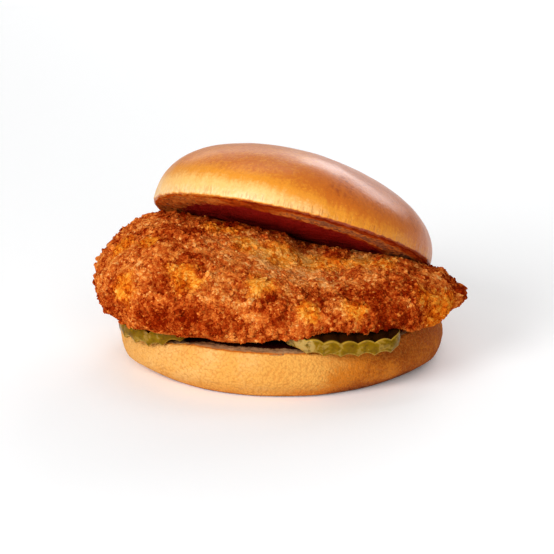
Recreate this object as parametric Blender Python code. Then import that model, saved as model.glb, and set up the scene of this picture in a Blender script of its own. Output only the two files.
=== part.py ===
"""A fried-chicken burger: a bun heel, two crinkle-cut pickle chips on it, a breaded
chicken filet longer than the bun, and a bun crown that leans back over the filet
until its back rim meets the heel.

Metres, +Z up. The origin is the centre of the heel's flat base, +X runs along the
filet towards its thin end, and +Y runs away from the open front. Sizes below are
in millimetres and are turned into metres by MM.
"""

import math

import bmesh
import bpy
from mathutils import Matrix, Vector, noise

MM = 0.001
GAP = 0.35 * MM

# Heel: the flat lower half of the bun.
HEEL_BASE_RADIUS = 47.0 * MM
HEEL_RADIUS = 51.1 * MM
HEEL_TOP_RADIUS = 50.0 * MM
HEEL_HEIGHT = 16.2 * MM
HEEL_WIDEST_Z = 8.0 * MM
HEEL_EDGE = 1.8 * MM
HEEL_RINGS = (20.0 * MM, 31.0 * MM, 38.0 * MM, 43.0 * MM, 47.0 * MM)
HEEL_STEPS = 56
HEEL_SIDE_STEPS = 4
HEEL_PRESS_START = 30.0 * MM
HEEL_PRESS_FULL = 49.0 * MM

# Crown: the domed upper half, in its own frame before it is tilted.
CROWN_RADIUS = 46.4 * MM
CROWN_HEIGHT = 26.4 * MM
CROWN_EDGE = 1.4 * MM
CROWN_WIDEST_Z = 2.6 * MM
CROWN_FULLNESS = 2.12
CROWN_LOPSIDE = 0.08
CROWN_STEPS = 60
CROWN_DOME_STEPS = 10
CROWN_DOME_TURN = math.radians(85.0)
CROWN_CENTRE = Vector((3.2, 5.0, 36.9)) * MM
CROWN_TILT = math.radians(29.8)
CROWN_LEAN = math.radians(62.1)

# Pickle chips: centre on the heel, heading of the ridges, how far the chip presses
# the heel's rim down, and how far past the chip that dip runs out.
CHIP_RADIUS = 18.3 * MM
CHIP_SQUARENESS = 2.5
CHIP_THICKNESS = 4.3 * MM
CHIP_PITCH = 5.3 * MM
CHIP_WAVE = 0.8 * MM
CHIP_COLUMNS = 36
CHIP_ROWS = 5
CHIP_END = 0.992
CHIP_DROOP_RADIUS = 47.0 * MM
CHIP_DROOP = 60.0
CHIP_BED = 2.0 * MM
CHIPS = {
    "pickle_left": (Vector((-31.0, -16.4)) * MM, math.radians(-35.0), 2.9 * MM, 14.0 * MM),
    "pickle_right": (Vector((18.0, -31.0)) * MM, math.radians(17.0), 0.3 * MM, 7.0 * MM),
}

# Filet: stations along X, each with the sizes that the end envelope then rounds off.
FILET_HALF_LENGTH = 60.4 * MM
FILET_THICKEST_X = -30.0 * MM
FILET_MARGIN = 3.4 * MM
FILET_STEP_DOWN = 5.0 * MM
FILET_SQUARENESS_ABOVE = 0.84
FILET_SQUARENESS_BELOW = 0.68
FILET_STATIONS = (
    # x, axis y, axis z, front reach, back reach, rise, drop
    (-60.4, -8.0, 26.5, 33.0, 33.0, 20.0, 15.0),
    (-45.0, -8.0, 27.5, 36.5, 38.0, 18.8, 14.0),
    (-30.0, -9.0, 27.5, 38.5, 43.0, 17.3, 12.5),
    (0.0, -9.0, 25.0, 43.0, 43.0, 13.5, 9.0),
    (18.0, -10.0, 24.5, 45.0, 40.0, 11.5, 8.0),
    (40.0, -11.0, 23.0, 41.0, 34.0, 18.0, 13.5),
    (60.4, -11.0, 23.3, 30.0, 26.0, 10.5, 13.0),
)
FILET_LUMPS = (
    # wavelength, height, seed
    (17.0, 1.5, 3.1),
    (7.5, 0.9, 11.7),
)


def smooth_step(value):
    """Ease from 0 at 0 to 1 at 1."""
    value = min(max(value, 0.0), 1.0)
    return value * value * (3.0 - 2.0 * value)


def disc_weight(x, y, centre, radius, fade):
    """1 inside a disc, fading to 0 over the given distance outside it."""
    away = math.hypot(x - centre.x, y - centre.y) - radius
    return 1.0 - smooth_step(away / fade)


def heel_top(x, y):
    """Height of the heel's cut face, pressed down where a chip lies on its rim."""
    span = HEEL_PRESS_FULL - HEEL_PRESS_START
    rim = smooth_step((math.hypot(x, y) - HEEL_PRESS_START) / span)
    pressed = max(
        press * disc_weight(x, y, centre, CHIP_RADIUS - CHIP_BED, fade)
        for centre, _, press, fade in CHIPS.values()
    )
    return HEEL_HEIGHT - rim * pressed


def chip_droop(x, y):
    """How far a chip hangs below its flat place once it is past the heel's rim."""
    past_rim = max(0.0, math.hypot(x, y) - CHIP_DROOP_RADIUS)
    return CHIP_DROOP * past_rim**2


def filet_floor(x, y):
    """Lowest height of the filet: on the heel, or on a chip's crests."""
    chip_height = CHIP_THICKNESS + 2.0 * CHIP_WAVE + 2.0 * GAP - chip_droop(x, y)
    on_chip = max(
        disc_weight(x, y, centre, CHIP_RADIUS + FILET_MARGIN, FILET_STEP_DOWN)
        for centre, _, _, _ in CHIPS.values()
    )
    return heel_top(x, y) + 1.3 * GAP + max(0.0, chip_height) * on_chip


def station(x):
    """Filet sizes at x in metres, eased between the two nearest stations."""
    rows = FILET_STATIONS
    x_mm = min(max(x / MM, rows[0][0]), rows[-1][0])
    index = max(i for i in range(len(rows) - 1) if x_mm >= rows[i][0])
    before, first, last, after = (
        rows[min(max(index + step, 0), len(rows) - 1)] for step in (-1, 0, 1, 2)
    )
    part = (x_mm - first[0]) / (last[0] - first[0])
    sizes = []
    for p0, p1, p2, p3 in zip(before[1:], first[1:], last[1:], after[1:]):
        slope_1 = 0.5 * (p2 - p0)
        slope_2 = 0.5 * (p3 - p1)
        value = (
            p1 * (2 * part**3 - 3 * part**2 + 1)
            + slope_1 * (part**3 - 2 * part**2 + part)
            + p2 * (3 * part**2 - 2 * part**3)
            + slope_2 * (part**3 - part**2)
        )
        sizes.append(value * MM)
    return sizes


def filet_envelope(x):
    """Egg-shaped rounding of both ends: 1 at the thickest section, 0 at the tips."""
    tip = math.copysign(FILET_HALF_LENGTH, x - FILET_THICKEST_X)
    offset = (x - FILET_THICKEST_X) / (tip - FILET_THICKEST_X)
    return math.sqrt(max(0.0, 1.0 - offset * offset))


def crown_matrix():
    """Place of the crown: tipped up at the front left, leaning down to the back."""
    lean_axis = Vector((-math.sin(CROWN_LEAN), math.cos(CROWN_LEAN), 0.0))
    return Matrix.Translation(CROWN_CENTRE) @ Matrix.Rotation(CROWN_TILT, 4, lean_axis)


def new_object(name, mesh_data, colour, roughness):
    """Make an object from a bmesh, shaded smooth, with its own material."""
    mesh = bpy.data.meshes.new(name)
    mesh_data.to_mesh(mesh)
    mesh_data.free()
    mesh.shade_smooth()
    mesh.set_sharp_from_angle(angle=math.radians(40.0))
    material = bpy.data.materials.new(name)
    material.use_nodes = True
    shader = material.node_tree.nodes["Principled BSDF"]
    shader.inputs["Base Color"].default_value = (*colour, 1.0)
    shader.inputs["Roughness"].default_value = roughness
    shader.inputs["Metallic"].default_value = 0.0
    mesh.materials.append(material)
    item = bpy.data.objects.new(name, mesh)
    bpy.context.scene.collection.objects.link(item)
    return item


def spun(profile, steps):
    """Turn a profile of (radius, height) points, axis to axis, into a closed body."""
    body = bmesh.new()
    points = [body.verts.new((radius, 0.0, height)) for radius, height in profile]
    edges = [body.edges.new(pair) for pair in zip(points, points[1:])]
    bmesh.ops.spin(
        body,
        geom=points + edges,
        cent=(0.0, 0.0, 0.0),
        axis=(0.0, 0.0, 1.0),
        angle=2.0 * math.pi,
        steps=steps,
        use_merge=True,
    )
    bmesh.ops.remove_doubles(body, verts=body.verts, dist=0.02 * MM)
    bmesh.ops.recalc_face_normals(body, faces=body.faces)
    return body


def arc(centre, radius, start, end, steps):
    """Points of a round edge in a profile, with angles in degrees."""
    angles = (math.radians(start + (end - start) * i / steps) for i in range(steps + 1))
    return [
        (centre[0] + radius * math.cos(angle), centre[1] + radius * math.sin(angle))
        for angle in angles
    ]


def build_heel():
    """Heel: flat base, rounded lower edge, bulging side and a soft cut rim."""
    bulge = HEEL_RADIUS - HEEL_BASE_RADIUS
    turns = (0.5 * math.pi * step / HEEL_SIDE_STEPS for step in range(HEEL_SIDE_STEPS + 1))
    side = [
        (HEEL_BASE_RADIUS + bulge * math.sin(turn), HEEL_WIDEST_Z * (1.0 - math.cos(turn)))
        for turn in turns
    ]
    rim_centre = (HEEL_TOP_RADIUS - HEEL_EDGE, HEEL_HEIGHT - HEEL_EDGE)
    rim = arc(rim_centre, HEEL_EDGE, 0.0, 90.0, 2)
    rings = [(radius, HEEL_HEIGHT) for radius in reversed(HEEL_RINGS)]
    body = spun([(0.0, 0.0), *side, *rim, *rings, (0.0, HEEL_HEIGHT)], HEEL_STEPS)
    for vertex in body.verts:
        x, y, z = vertex.co
        upper = smooth_step((z - HEEL_WIDEST_Z) / (HEEL_HEIGHT - HEEL_WIDEST_Z))
        vertex.co.z = z - upper * (HEEL_HEIGHT - heel_top(x, y))
    return new_object("bun_heel", body, (0.78, 0.47, 0.18), 0.75)


def build_crown():
    """Crown: a flat cut face with a soft rim under a lopsided dome, whose back rim
    is pressed flat where it rests on the heel."""
    rim = arc((CROWN_RADIUS - CROWN_EDGE, CROWN_EDGE), CROWN_EDGE, -90.0, 0.0, 3)
    rise = CROWN_HEIGHT - CROWN_WIDEST_Z
    power = 2.0 / CROWN_FULLNESS
    dome = []
    for step in range(1, CROWN_DOME_STEPS + 1):
        angle = CROWN_DOME_TURN * step / CROWN_DOME_STEPS
        radius = CROWN_RADIUS * math.cos(angle) ** power
        dome.append((radius, CROWN_WIDEST_Z + rise * math.sin(angle) ** power))
    middle = (0.5 * CROWN_RADIUS, 0.0)
    body = spun([(0.0, 0.0), middle, *rim, *dome, (0.0, CROWN_HEIGHT)], CROWN_STEPS)
    place = crown_matrix()
    for vertex in body.verts:
        x, _, z = vertex.co
        if z > CROWN_WIDEST_Z:
            vertex.co.z = z * (1.0 - CROWN_LOPSIDE * x / CROWN_RADIUS)
        placed = place @ vertex.co
        placed.z = max(placed.z, HEEL_HEIGHT + GAP)
        vertex.co = place.inverted() @ placed
    crown = new_object("bun_crown", body, (0.70, 0.33, 0.08), 0.4)
    crown.matrix_world = place
    return crown


def build_chip(name, centre, heading):
    """Pickle chip: a round slice, both faces rippled together, resting on the heel."""
    body = bmesh.new()
    bmesh.ops.create_grid(body, x_segments=CHIP_COLUMNS, y_segments=CHIP_ROWS, size=1.0)
    turn = Matrix.Rotation(heading, 2)
    for vertex in body.verts:
        column, row, _ = vertex.co
        spread = 0.5 * (column + math.sin(0.5 * math.pi * column))
        across = spread * CHIP_END * CHIP_RADIUS
        chord = 1.0 - (abs(across) / CHIP_RADIUS) ** CHIP_SQUARENESS
        along = row * CHIP_RADIUS * chord ** (1.0 / CHIP_SQUARENESS)
        x, y = centre + turn @ Vector((across, along))
        ripple = CHIP_WAVE * math.sin(2.0 * math.pi * across / CHIP_PITCH)
        rest = heel_top(x, y) + 1.8 * GAP + CHIP_WAVE - chip_droop(x, y)
        vertex.co = (x, y, rest + ripple)
    lifted = bmesh.ops.extrude_face_region(body, geom=body.faces[:])
    top = [item for item in lifted["geom"] if isinstance(item, bmesh.types.BMVert)]
    bmesh.ops.translate(body, verts=top, vec=(0.0, 0.0, CHIP_THICKNESS))
    bmesh.ops.recalc_face_normals(body, faces=body.faces)
    return new_object(name, body, (0.20, 0.19, 0.02), 0.3)


def add_lumps(body):
    """Raise and sink a body's surface along its normals in soft lumps."""
    body.normal_update()
    for vertex, normal in [(vertex, vertex.normal.copy()) for vertex in body.verts]:
        place = vertex.co / MM
        for wavelength, height, seed in FILET_LUMPS:
            sample = place / wavelength + Vector((seed, seed, seed))
            vertex.co += normal * (noise.noise(sample) * height * MM)


def build_filet():
    """Chicken filet: a thick lobe that thins to a blunt tip, settled on the pieces
    below it and pressed flat where the crown lies on it."""
    body = bmesh.new()
    bmesh.ops.create_icosphere(body, subdivisions=5, radius=1.0)
    for vertex in body.verts:
        along, side, up = vertex.co
        x = along * FILET_HALF_LENGTH
        axis_y, axis_z, front, back, rise, drop = station(x)
        size = filet_envelope(x)
        ring = max(1e-6, math.hypot(side, up))
        side, up = side / ring, up / ring
        reach = size * (back if side > 0.0 else front)
        height = size * (rise if up > 0.0 else drop)
        power = FILET_SQUARENESS_ABOVE if up > 0.0 else FILET_SQUARENESS_BELOW
        y = axis_y + reach * math.copysign(abs(side) ** power, side)
        z = axis_z + height * math.copysign(abs(up) ** power, up)
        vertex.co = (x, y, z)
    add_lumps(body)
    from_crown = crown_matrix()
    to_crown = from_crown.inverted()
    for vertex in body.verts:
        local = to_crown @ vertex.co
        under_crown = math.hypot(local.x, local.y) < CROWN_RADIUS + FILET_MARGIN
        if under_crown and local.z > -GAP:
            local.z = -GAP
            vertex.co = from_crown @ local
        vertex.co.z = max(vertex.co.z, filet_floor(vertex.co.x, vertex.co.y))
    return new_object("chicken_filet", body, (0.42, 0.14, 0.03), 0.6)


def main():
    """Clear the scene and build every piece."""
    for item in list(bpy.data.objects):
        bpy.data.objects.remove(item, do_unlink=True)
    build_heel()
    for name, (centre, heading, _, _) in CHIPS.items():
        build_chip(name, centre, heading)
    build_filet()
    build_crown()


main()
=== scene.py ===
"""Looks of a fried-chicken burger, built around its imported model.

A soft bun heel carries two crinkle-cut pickle chips and a breaded chicken filet,
and a glossy bun crown leans back over the filet. Lengths are metres in the frame of
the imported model: +Z up, +X along the filet towards its thin end, -Y the open front.
"""

import logging
import math
from abc import ABC, abstractmethod
from dataclasses import dataclass
from enum import Enum

import bmesh
import bpy
from mathutils import Matrix, Vector, noise


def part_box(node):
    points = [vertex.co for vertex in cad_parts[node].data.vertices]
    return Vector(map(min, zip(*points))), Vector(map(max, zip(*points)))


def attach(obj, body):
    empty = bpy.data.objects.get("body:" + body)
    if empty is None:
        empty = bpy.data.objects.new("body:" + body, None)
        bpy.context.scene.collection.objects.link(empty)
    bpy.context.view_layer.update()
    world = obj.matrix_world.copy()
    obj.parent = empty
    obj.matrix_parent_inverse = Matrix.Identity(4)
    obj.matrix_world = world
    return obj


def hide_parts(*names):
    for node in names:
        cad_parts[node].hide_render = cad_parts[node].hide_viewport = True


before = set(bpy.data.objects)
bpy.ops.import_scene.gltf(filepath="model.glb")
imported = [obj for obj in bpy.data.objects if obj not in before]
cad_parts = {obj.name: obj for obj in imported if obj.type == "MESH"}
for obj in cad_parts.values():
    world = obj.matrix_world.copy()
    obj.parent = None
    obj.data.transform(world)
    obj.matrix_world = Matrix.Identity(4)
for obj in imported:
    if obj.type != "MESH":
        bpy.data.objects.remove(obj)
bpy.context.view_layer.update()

MM = 0.001
LOG = logging.getLogger("chicken_burger")

Colour = tuple[float, float, float]
Stops = tuple[tuple[float, Colour], ...]


class Slot(Enum):
    """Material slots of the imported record."""

    HEEL = "bun_heel"
    PICKLE = "pickle"
    BREADING = "fried_breading"
    CROWN = "bun_crown"


class Mark(Enum):
    """Values painted on the points of a mesh for its material to read."""

    BAKE = "bake"
    GOLD = "gold"
    # Painted shade: darker hollows and fold crease on the breading, the shaded middles of both cut
    # faces (partly juice on the heel), and chip faces the filet shades.
    PIT = "pit"
    RISE = "rise"
    BARE = "bare"
    FLAKY = "flaky"
    TONE = "tone"
    DOUGH = "dough"


# --------------------------------------------------------------------------
# Shape helpers
# --------------------------------------------------------------------------


def ease(value: float) -> float:
    """Rise smoothly from 0 at 0 to 1 at 1."""
    value = min(max(value, 0.0), 1.0)
    return value * value * (3.0 - 2.0 * value)


def swell(place: Vector, size: float, seed: float) -> float:
    """Soft noise from about -1 to 1 whose features are as wide as size."""
    return noise.noise(place / size + Vector((seed, 2.0 * seed, -seed)))


def cobble(place: Vector, size: float, seed: float) -> float:
    """Height from 0 to 1 of packed round grains as wide as size."""
    near = noise.voronoi(place / size + Vector((seed, -seed, 2.0 * seed)))[0][0]
    return max(0.0, 1.0 - (near / 0.75) ** 2)


def arc(centre: tuple[float, float], radius: float, start: float, end: float, steps: int) -> list:
    """Points of a round edge in a turned profile.

    Args:
        centre: Radius and height of the arc's centre.
        radius: Radius of the arc.
        start: First angle in degrees, 0 pointing outwards and 90 up.
        end: Last angle in degrees.
        steps: Number of straight steps.

    Returns:
        The points as (radius, height) pairs.
    """
    turns = [math.radians(start + (end - start) * step / steps) for step in range(steps + 1)]
    return [(centre[0] + radius * math.cos(a), centre[1] + radius * math.sin(a)) for a in turns]


def spread(start: float, end: float, steps: int) -> list[float]:
    """Evenly spaced values after start, up to and with end."""
    return [start + (end - start) * step / steps for step in range(1, steps + 1)]


def turned(profile: list[tuple[float, float]], steps: int, cuts: int) -> bmesh.types.BMesh:
    """Spin a profile that runs from axis to axis into a closed body.

    The turn is made in coarse steps, which are then cut finer and made round again.

    Args:
        profile: Points as (radius, height) pairs.
        steps: Coarse steps in the full turn.
        cuts: Cuts in each coarse step.

    Returns:
        The closed body, with its faces pointing out.
    """
    body = bmesh.new()
    reach = body.verts.layers.float.new("reach")
    points = [body.verts.new((radius, 0.0, height)) for radius, height in profile]
    for point in points:
        point[reach] = point.co.x
    edges = [body.edges.new(pair) for pair in zip(points, points[1:])]
    bmesh.ops.spin(
        body,
        geom=points + edges,
        cent=(0.0, 0.0, 0.0),
        axis=(0.0, 0.0, 1.0),
        angle=2.0 * math.pi,
        steps=steps,
        use_merge=True,
    )
    bmesh.ops.remove_doubles(body, verts=body.verts, dist=0.01 * MM)
    around = [e for e in body.edges if abs(e.verts[0].co.z - e.verts[1].co.z) < 1e-7
              and abs(e.verts[0][reach] - e.verts[1][reach]) < 1e-7]
    bmesh.ops.subdivide_edges(body, edges=around, cuts=cuts)
    for vertex in body.verts:
        chord = math.hypot(vertex.co.x, vertex.co.y)
        if chord > 0.0:
            vertex.co.x *= vertex[reach] / chord
            vertex.co.y *= vertex[reach] / chord
    body.verts.layers.float.remove(reach)
    bmesh.ops.triangulate(body, faces=[face for face in body.faces if len(face.verts) > 4])
    bmesh.ops.recalc_face_normals(body, faces=body.faces)
    return body


def finished_mesh(item: bpy.types.Object) -> bpy.types.Mesh:
    """A copy of an object's mesh with its modifiers applied."""
    bpy.context.view_layer.update()
    graph = bpy.context.evaluated_depsgraph_get()
    return bpy.data.meshes.new_from_object(item.evaluated_get(graph), depsgraph=graph)


# --------------------------------------------------------------------------
# Node wiring and shared effects
# --------------------------------------------------------------------------


def tint(red: int, green: int, blue: int) -> Colour:
    """Scene-linear colour of an 8-bit display colour."""
    parts = [value / 255.0 for value in (red, green, blue)]
    return tuple(p / 12.92 if p <= 0.04045 else ((p + 0.055) / 1.055) ** 2.4 for p in parts)


class Wiring:
    """A short way to place and link the nodes of one tree."""

    def __init__(self, tree: bpy.types.NodeTree) -> None:
        """Start on a tree."""
        self.tree = tree

    def add(self, kind: str, feeds: dict | None = None, **settings: object) -> bpy.types.Node:
        """Place a node.

        Args:
            kind: The node's type name.
            feeds: Values or output sockets, by input name or number.
            **settings: The node's own properties.

        Returns:
            The node.
        """
        node = self.tree.nodes.new(kind)
        for key, value in settings.items():
            setattr(node, key, value)
        self.feed(node, feeds or {})
        return node

    def feed(self, node: bpy.types.Node, feeds: dict) -> None:
        """Set or link a node's inputs, by their names or numbers."""
        for key, value in feeds.items():
            if isinstance(value, bpy.types.NodeSocket):
                self.tree.links.new(value, node.inputs[key])
            else:
                node.inputs[key].default_value = value

    def maths(self, operation: str, first: object, second: object = 0.0) -> bpy.types.NodeSocket:
        """Result of a Math node."""
        return self.add("ShaderNodeMath", {0: first, 1: second}, operation=operation).outputs[0]

    def plus(self, first: object, second: object) -> bpy.types.NodeSocket:
        """Sum of two values."""
        return self.maths("ADD", first, second)

    def minus(self, first: object, second: object) -> bpy.types.NodeSocket:
        """Difference of two values."""
        return self.maths("SUBTRACT", first, second)

    def times(self, first: object, second: object) -> bpy.types.NodeSocket:
        """Product of two values."""
        return self.maths("MULTIPLY", first, second)

    def swing(self, value: object, middle: float, share: float) -> bpy.types.NodeSocket:
        """A value taken about its middle, and scaled by a share."""
        return self.times(self.minus(value, middle), share)

    def cloud(self, place: object, size: float, detail: float = 2.0) -> bpy.types.NodeSocket:
        """Soft noise whose features are about as wide as size."""
        feeds = {"Vector": place, "Scale": 1.0 / size, "Detail": detail}
        return self.add("ShaderNodeTexNoise", feeds).outputs[0]

    def fade(self, value: object, low: float, high: float) -> bpy.types.NodeSocket:
        """A value eased from 0 at low to 1 at high."""
        feeds = {"Value": value, "From Min": low, "From Max": high}
        node = self.add("ShaderNodeMapRange", feeds, interpolation_type="SMOOTHSTEP")
        return node.outputs[0]

    def blend(self, amount: object, base: object, over: object) -> bpy.types.NodeSocket:
        """Colour over another by an amount, where colours are 3-tuples or sockets."""
        feeds = {0: amount}
        for key, value in ((6, base), (7, over)):
            feeds[key] = (*value, 1.0) if isinstance(value, tuple) else value
        return self.add("ShaderNodeMix", feeds, data_type="RGBA").outputs[2]

    def ramp(self, value: object, stops: Stops) -> bpy.types.NodeSocket:
        """Colour of a value along eased stops."""
        node = self.add("ShaderNodeValToRGB", {0: value})
        ramp = node.color_ramp
        ramp.interpolation = "EASE"
        while len(ramp.elements) < len(stops):
            ramp.elements.new(1.0)
        for element, (position, colour) in zip(ramp.elements, stops):
            element.position = position
            element.color = (*colour, 1.0)
        return node.outputs[0]

    def mark(self, mark: Mark) -> bpy.types.NodeSocket:
        """Factor read from a painted value."""
        node = self.add("ShaderNodeAttribute", attribute_name=mark.value)
        return node.outputs["Vector" if mark is Mark.DOUGH else "Fac"]

    def bump(self, height: object, strength: float, distance: float) -> bpy.types.NodeSocket:
        """Normal raised by a height."""
        feeds = {"Height": height, "Strength": strength, "Distance": distance}
        return self.add("ShaderNodeBump", feeds).outputs[0]


def new_group(name: str, inputs: dict[str, str], outputs: dict[str, str]) -> tuple:
    """Start a shader node group.

    Args:
        name: Name of the group.
        inputs: Socket types by input name.
        outputs: Socket types by output name.

    Returns:
        The group, its wiring, its input node and its output node.
    """
    group = bpy.data.node_groups.new(name, "ShaderNodeTree")
    for label, kind in inputs.items():
        group.interface.new_socket(label, in_out="INPUT", socket_type=kind)
    for label, kind in outputs.items():
        group.interface.new_socket(label, in_out="OUTPUT", socket_type=kind)
    wiring = Wiring(group)
    return group, wiring, wiring.add("NodeGroupInput"), wiring.add("NodeGroupOutput")


FLOAT = "NodeSocketFloat"
VECTOR = "NodeSocketVector"


class Effects:
    """Shared effects, each a node group that is built once."""

    def __init__(self) -> None:
        """Build every group."""
        self.grain = self.build_grain()
        self.mottle = self.build_mottle()

    @staticmethod
    def build_grain() -> bpy.types.NodeTree:
        """Packed grains: their Height, the Pits between them, and a Tone for each grain."""
        inputs = {"Vector": VECTOR, "Scale": FLOAT, "Crumble": FLOAT}
        outputs = {"Height": FLOAT, "Pits": FLOAT, "Tone": FLOAT}
        group, wiring, given, result = new_group("grain", inputs, outputs)
        warp_feeds = {"Vector": given.outputs["Vector"], "Scale": given.outputs["Scale"], "Detail": 2.0}
        warp = wiring.add("ShaderNodeTexNoise", warp_feeds)
        fine = wiring.add("ShaderNodeVectorMath", {0: warp.outputs["Color"]}, operation="SCALE")
        size = wiring.maths("DIVIDE", 0.55, given.outputs["Scale"])
        wiring.tree.links.new(size, fine.inputs["Scale"])
        place_feeds = {0: given.outputs["Vector"], 1: fine.outputs[0]}
        place = wiring.add("ShaderNodeVectorMath", place_feeds, operation="ADD")
        cells = wiring.add(
            "ShaderNodeTexVoronoi", {"Vector": place.outputs[0], "Scale": given.outputs["Scale"]}
        )
        dome = wiring.minus(1.0, cells.outputs["Distance"])
        rough_scale = wiring.times(given.outputs["Scale"], 2.3)
        rough_feeds = {"Vector": given.outputs["Vector"], "Scale": rough_scale, "Detail": 3.0}
        rough = wiring.add("ShaderNodeTexNoise", rough_feeds)
        mixed_feeds = {0: given.outputs["Crumble"], 2: dome, 3: rough.outputs[0]}
        mixed = wiring.add("ShaderNodeMix", mixed_feeds)
        wiring.tree.links.new(mixed.outputs[0], result.inputs["Height"])
        wiring.tree.links.new(wiring.fade(mixed.outputs[0], 0.52, 0.28), result.inputs["Pits"])
        tone = wiring.add("ShaderNodeSeparateColor", {"Color": cells.outputs["Color"]})
        wiring.tree.links.new(tone.outputs[0], result.inputs["Tone"])
        return group

    @staticmethod
    def build_mottle() -> bpy.types.NodeTree:
        """Cloudy patches: a Mask that is 1 where the noise is above Balance."""
        inputs = {"Vector": VECTOR, "Scale": FLOAT, "Balance": FLOAT, "Softness": FLOAT}
        group, wiring, given, result = new_group("mottle", inputs, {"Mask": FLOAT})
        feeds = {"Vector": given.outputs["Vector"], "Scale": given.outputs["Scale"]}
        cloud = wiring.add("ShaderNodeTexNoise", {**feeds, "Detail": 4.0, "Distortion": 0.4})
        low = wiring.minus(given.outputs["Balance"], given.outputs["Softness"])
        high = wiring.plus(given.outputs["Balance"], given.outputs["Softness"])
        span_feeds = {"Value": cloud.outputs[0], "From Min": low, "From Max": high}
        span = wiring.add("ShaderNodeMapRange", span_feeds, interpolation_type="SMOOTHSTEP")
        wiring.tree.links.new(span.outputs[0], result.inputs["Mask"])
        return group


# --------------------------------------------------------------------------
# Finishes
# --------------------------------------------------------------------------


@dataclass(frozen=True)
class Finish(ABC):
    """One surface finish: its shader's plain values, and nodes that vary over it."""

    name: str
    roughness: float
    specular: float = 0.5
    coat: float = 0.0
    coat_roughness: float = 0.3
    subsurface: float = 0.0
    subsurface_depth: float = 1.0 * MM

    def material(self, effects: Effects) -> bpy.types.Material:
        """Make the material.

        Args:
            effects: The shared node groups.

        Returns:
            The material, with its varying inputs wired.
        """
        made = bpy.data.materials.new(self.name)
        made.use_nodes = True
        shader = made.node_tree.nodes["Principled BSDF"]
        values = {
            "Roughness": self.roughness,
            "Specular IOR Level": self.specular,
            "Coat Weight": self.coat,
            "Coat Roughness": self.coat_roughness,
            "Subsurface Weight": self.subsurface,
            "Subsurface Scale": self.subsurface_depth,
        }
        for socket, value in values.items():
            shader.inputs[socket].default_value = value
        self.wire(Wiring(made.node_tree), shader, effects)
        return made

    @staticmethod
    def grain(
        wiring: Wiring, effects: Effects, place: object, size: float, crumble: float
    ) -> bpy.types.Node:
        """The grain group, with grains about as wide as size."""
        feeds = {"Vector": place, "Scale": 1.0 / size, "Crumble": crumble}
        return wiring.add("ShaderNodeGroup", feeds, node_tree=effects.grain)

    @staticmethod
    def mottle(wiring: Wiring, effects: Effects, place: object, size: float) -> bpy.types.NodeSocket:
        """Mask of soft patches about as wide as size."""
        feeds = {"Vector": place, "Scale": 1.0 / size, "Balance": 0.5, "Softness": 0.14}
        return wiring.add("ShaderNodeGroup", feeds, node_tree=effects.mottle).outputs["Mask"]

    @abstractmethod
    def wire(self, wiring: Wiring, shader: bpy.types.Node, effects: Effects) -> None:
        """Feed the shader's inputs that vary over the surface."""


@dataclass(frozen=True)
class Crust(Finish):
    """Baked bun crust that darkens along its bake value, with fine pores and painted shade in them."""

    stops: Stops = ()
    pore: float = 0.55 * MM
    pore_depth: float = 0.05 * MM
    pore_tone: float = 0.09
    crumble: float = 0.45
    cloud: float = 0.26
    cloud_size: float = 7.0 * MM
    streak: float = 0.0
    streak_width: float = 1.5 * MM
    upright_share: float = 0.12
    crease: float = 0.0
    crease_height: float = 4.0 * MM
    crease_width: float = 0.5 * MM
    crease_spacing: float = 5.0 * MM
    crease_depth: float = 1.6
    # Colour of the painted shade in the pores and creases.
    speckle: Colour = (0.3, 0.1, 0.03)
    speckled: float = 0.25

    def wire(self, wiring: Wiring, shader: bpy.types.Node, effects: Effects) -> None:
        """Bake colour, mottling, pores with painted shade in them, and short upright creases above the
        rim, darkened by painted shade.
        """
        place = wiring.mark(Mark.DOUGH)
        bake = wiring.mark(Mark.BAKE)
        grain = self.grain(wiring, effects, place, self.pore, self.crumble)
        cloud = wiring.cloud(place, self.cloud_size, 4.0)
        shift = wiring.swing(cloud, 0.5, self.cloud)
        pore_shift = wiring.swing(grain.outputs["Tone"], 0.4, self.pore_tone)
        level = wiring.plus(wiring.plus(bake, shift), pore_shift)
        if self.streak > 0.0:
            streaks = self.upright_noise(wiring, place, self.streak_width)
            level = wiring.plus(level, wiring.swing(streaks, 0.5, self.streak))
        colour = wiring.ramp(level, self.stops)
        # Painted shade in the pores.
        specks = wiring.times(grain.outputs["Pits"], self.speckled)
        colour = wiring.blend(specks, colour, self.speckle)
        height = grain.outputs["Height"]
        if self.crease > 0.0:
            crease = self.creases(wiring, place)
            # Painted shade in the creases.
            colour = wiring.blend(wiring.times(crease, self.crease), colour, self.speckle)
            height = wiring.minus(height, wiring.times(crease, self.crease_depth))
        normal = wiring.bump(height, 0.8, self.pore_depth)
        wiring.feed(shader, {"Base Color": colour, "Normal": normal})

    def upright_noise(self, wiring: Wiring, place: object, width: float) -> bpy.types.NodeSocket:
        """Noise drawn out upwards into streaks of about the given width."""
        stretch = {0: place, 1: (1.0, 1.0, self.upright_share)}
        upright = wiring.add("ShaderNodeVectorMath", stretch, operation="MULTIPLY").outputs[0]
        return wiring.cloud(upright, width)

    def creases(self, wiring: Wiring, place: object) -> bpy.types.NodeSocket:
        """Mask of short creases that run up from the rim."""
        lines = wiring.fade(self.upright_noise(wiring, place, self.crease_width), 0.5, 0.72)
        reach = wiring.cloud(place, self.crease_spacing)
        limit = wiring.times(reach, 2.0 * self.crease_height)
        share = wiring.maths("DIVIDE", wiring.mark(Mark.RISE), limit)
        return wiring.times(lines, wiring.fade(share, 1.0, 0.55))


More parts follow.
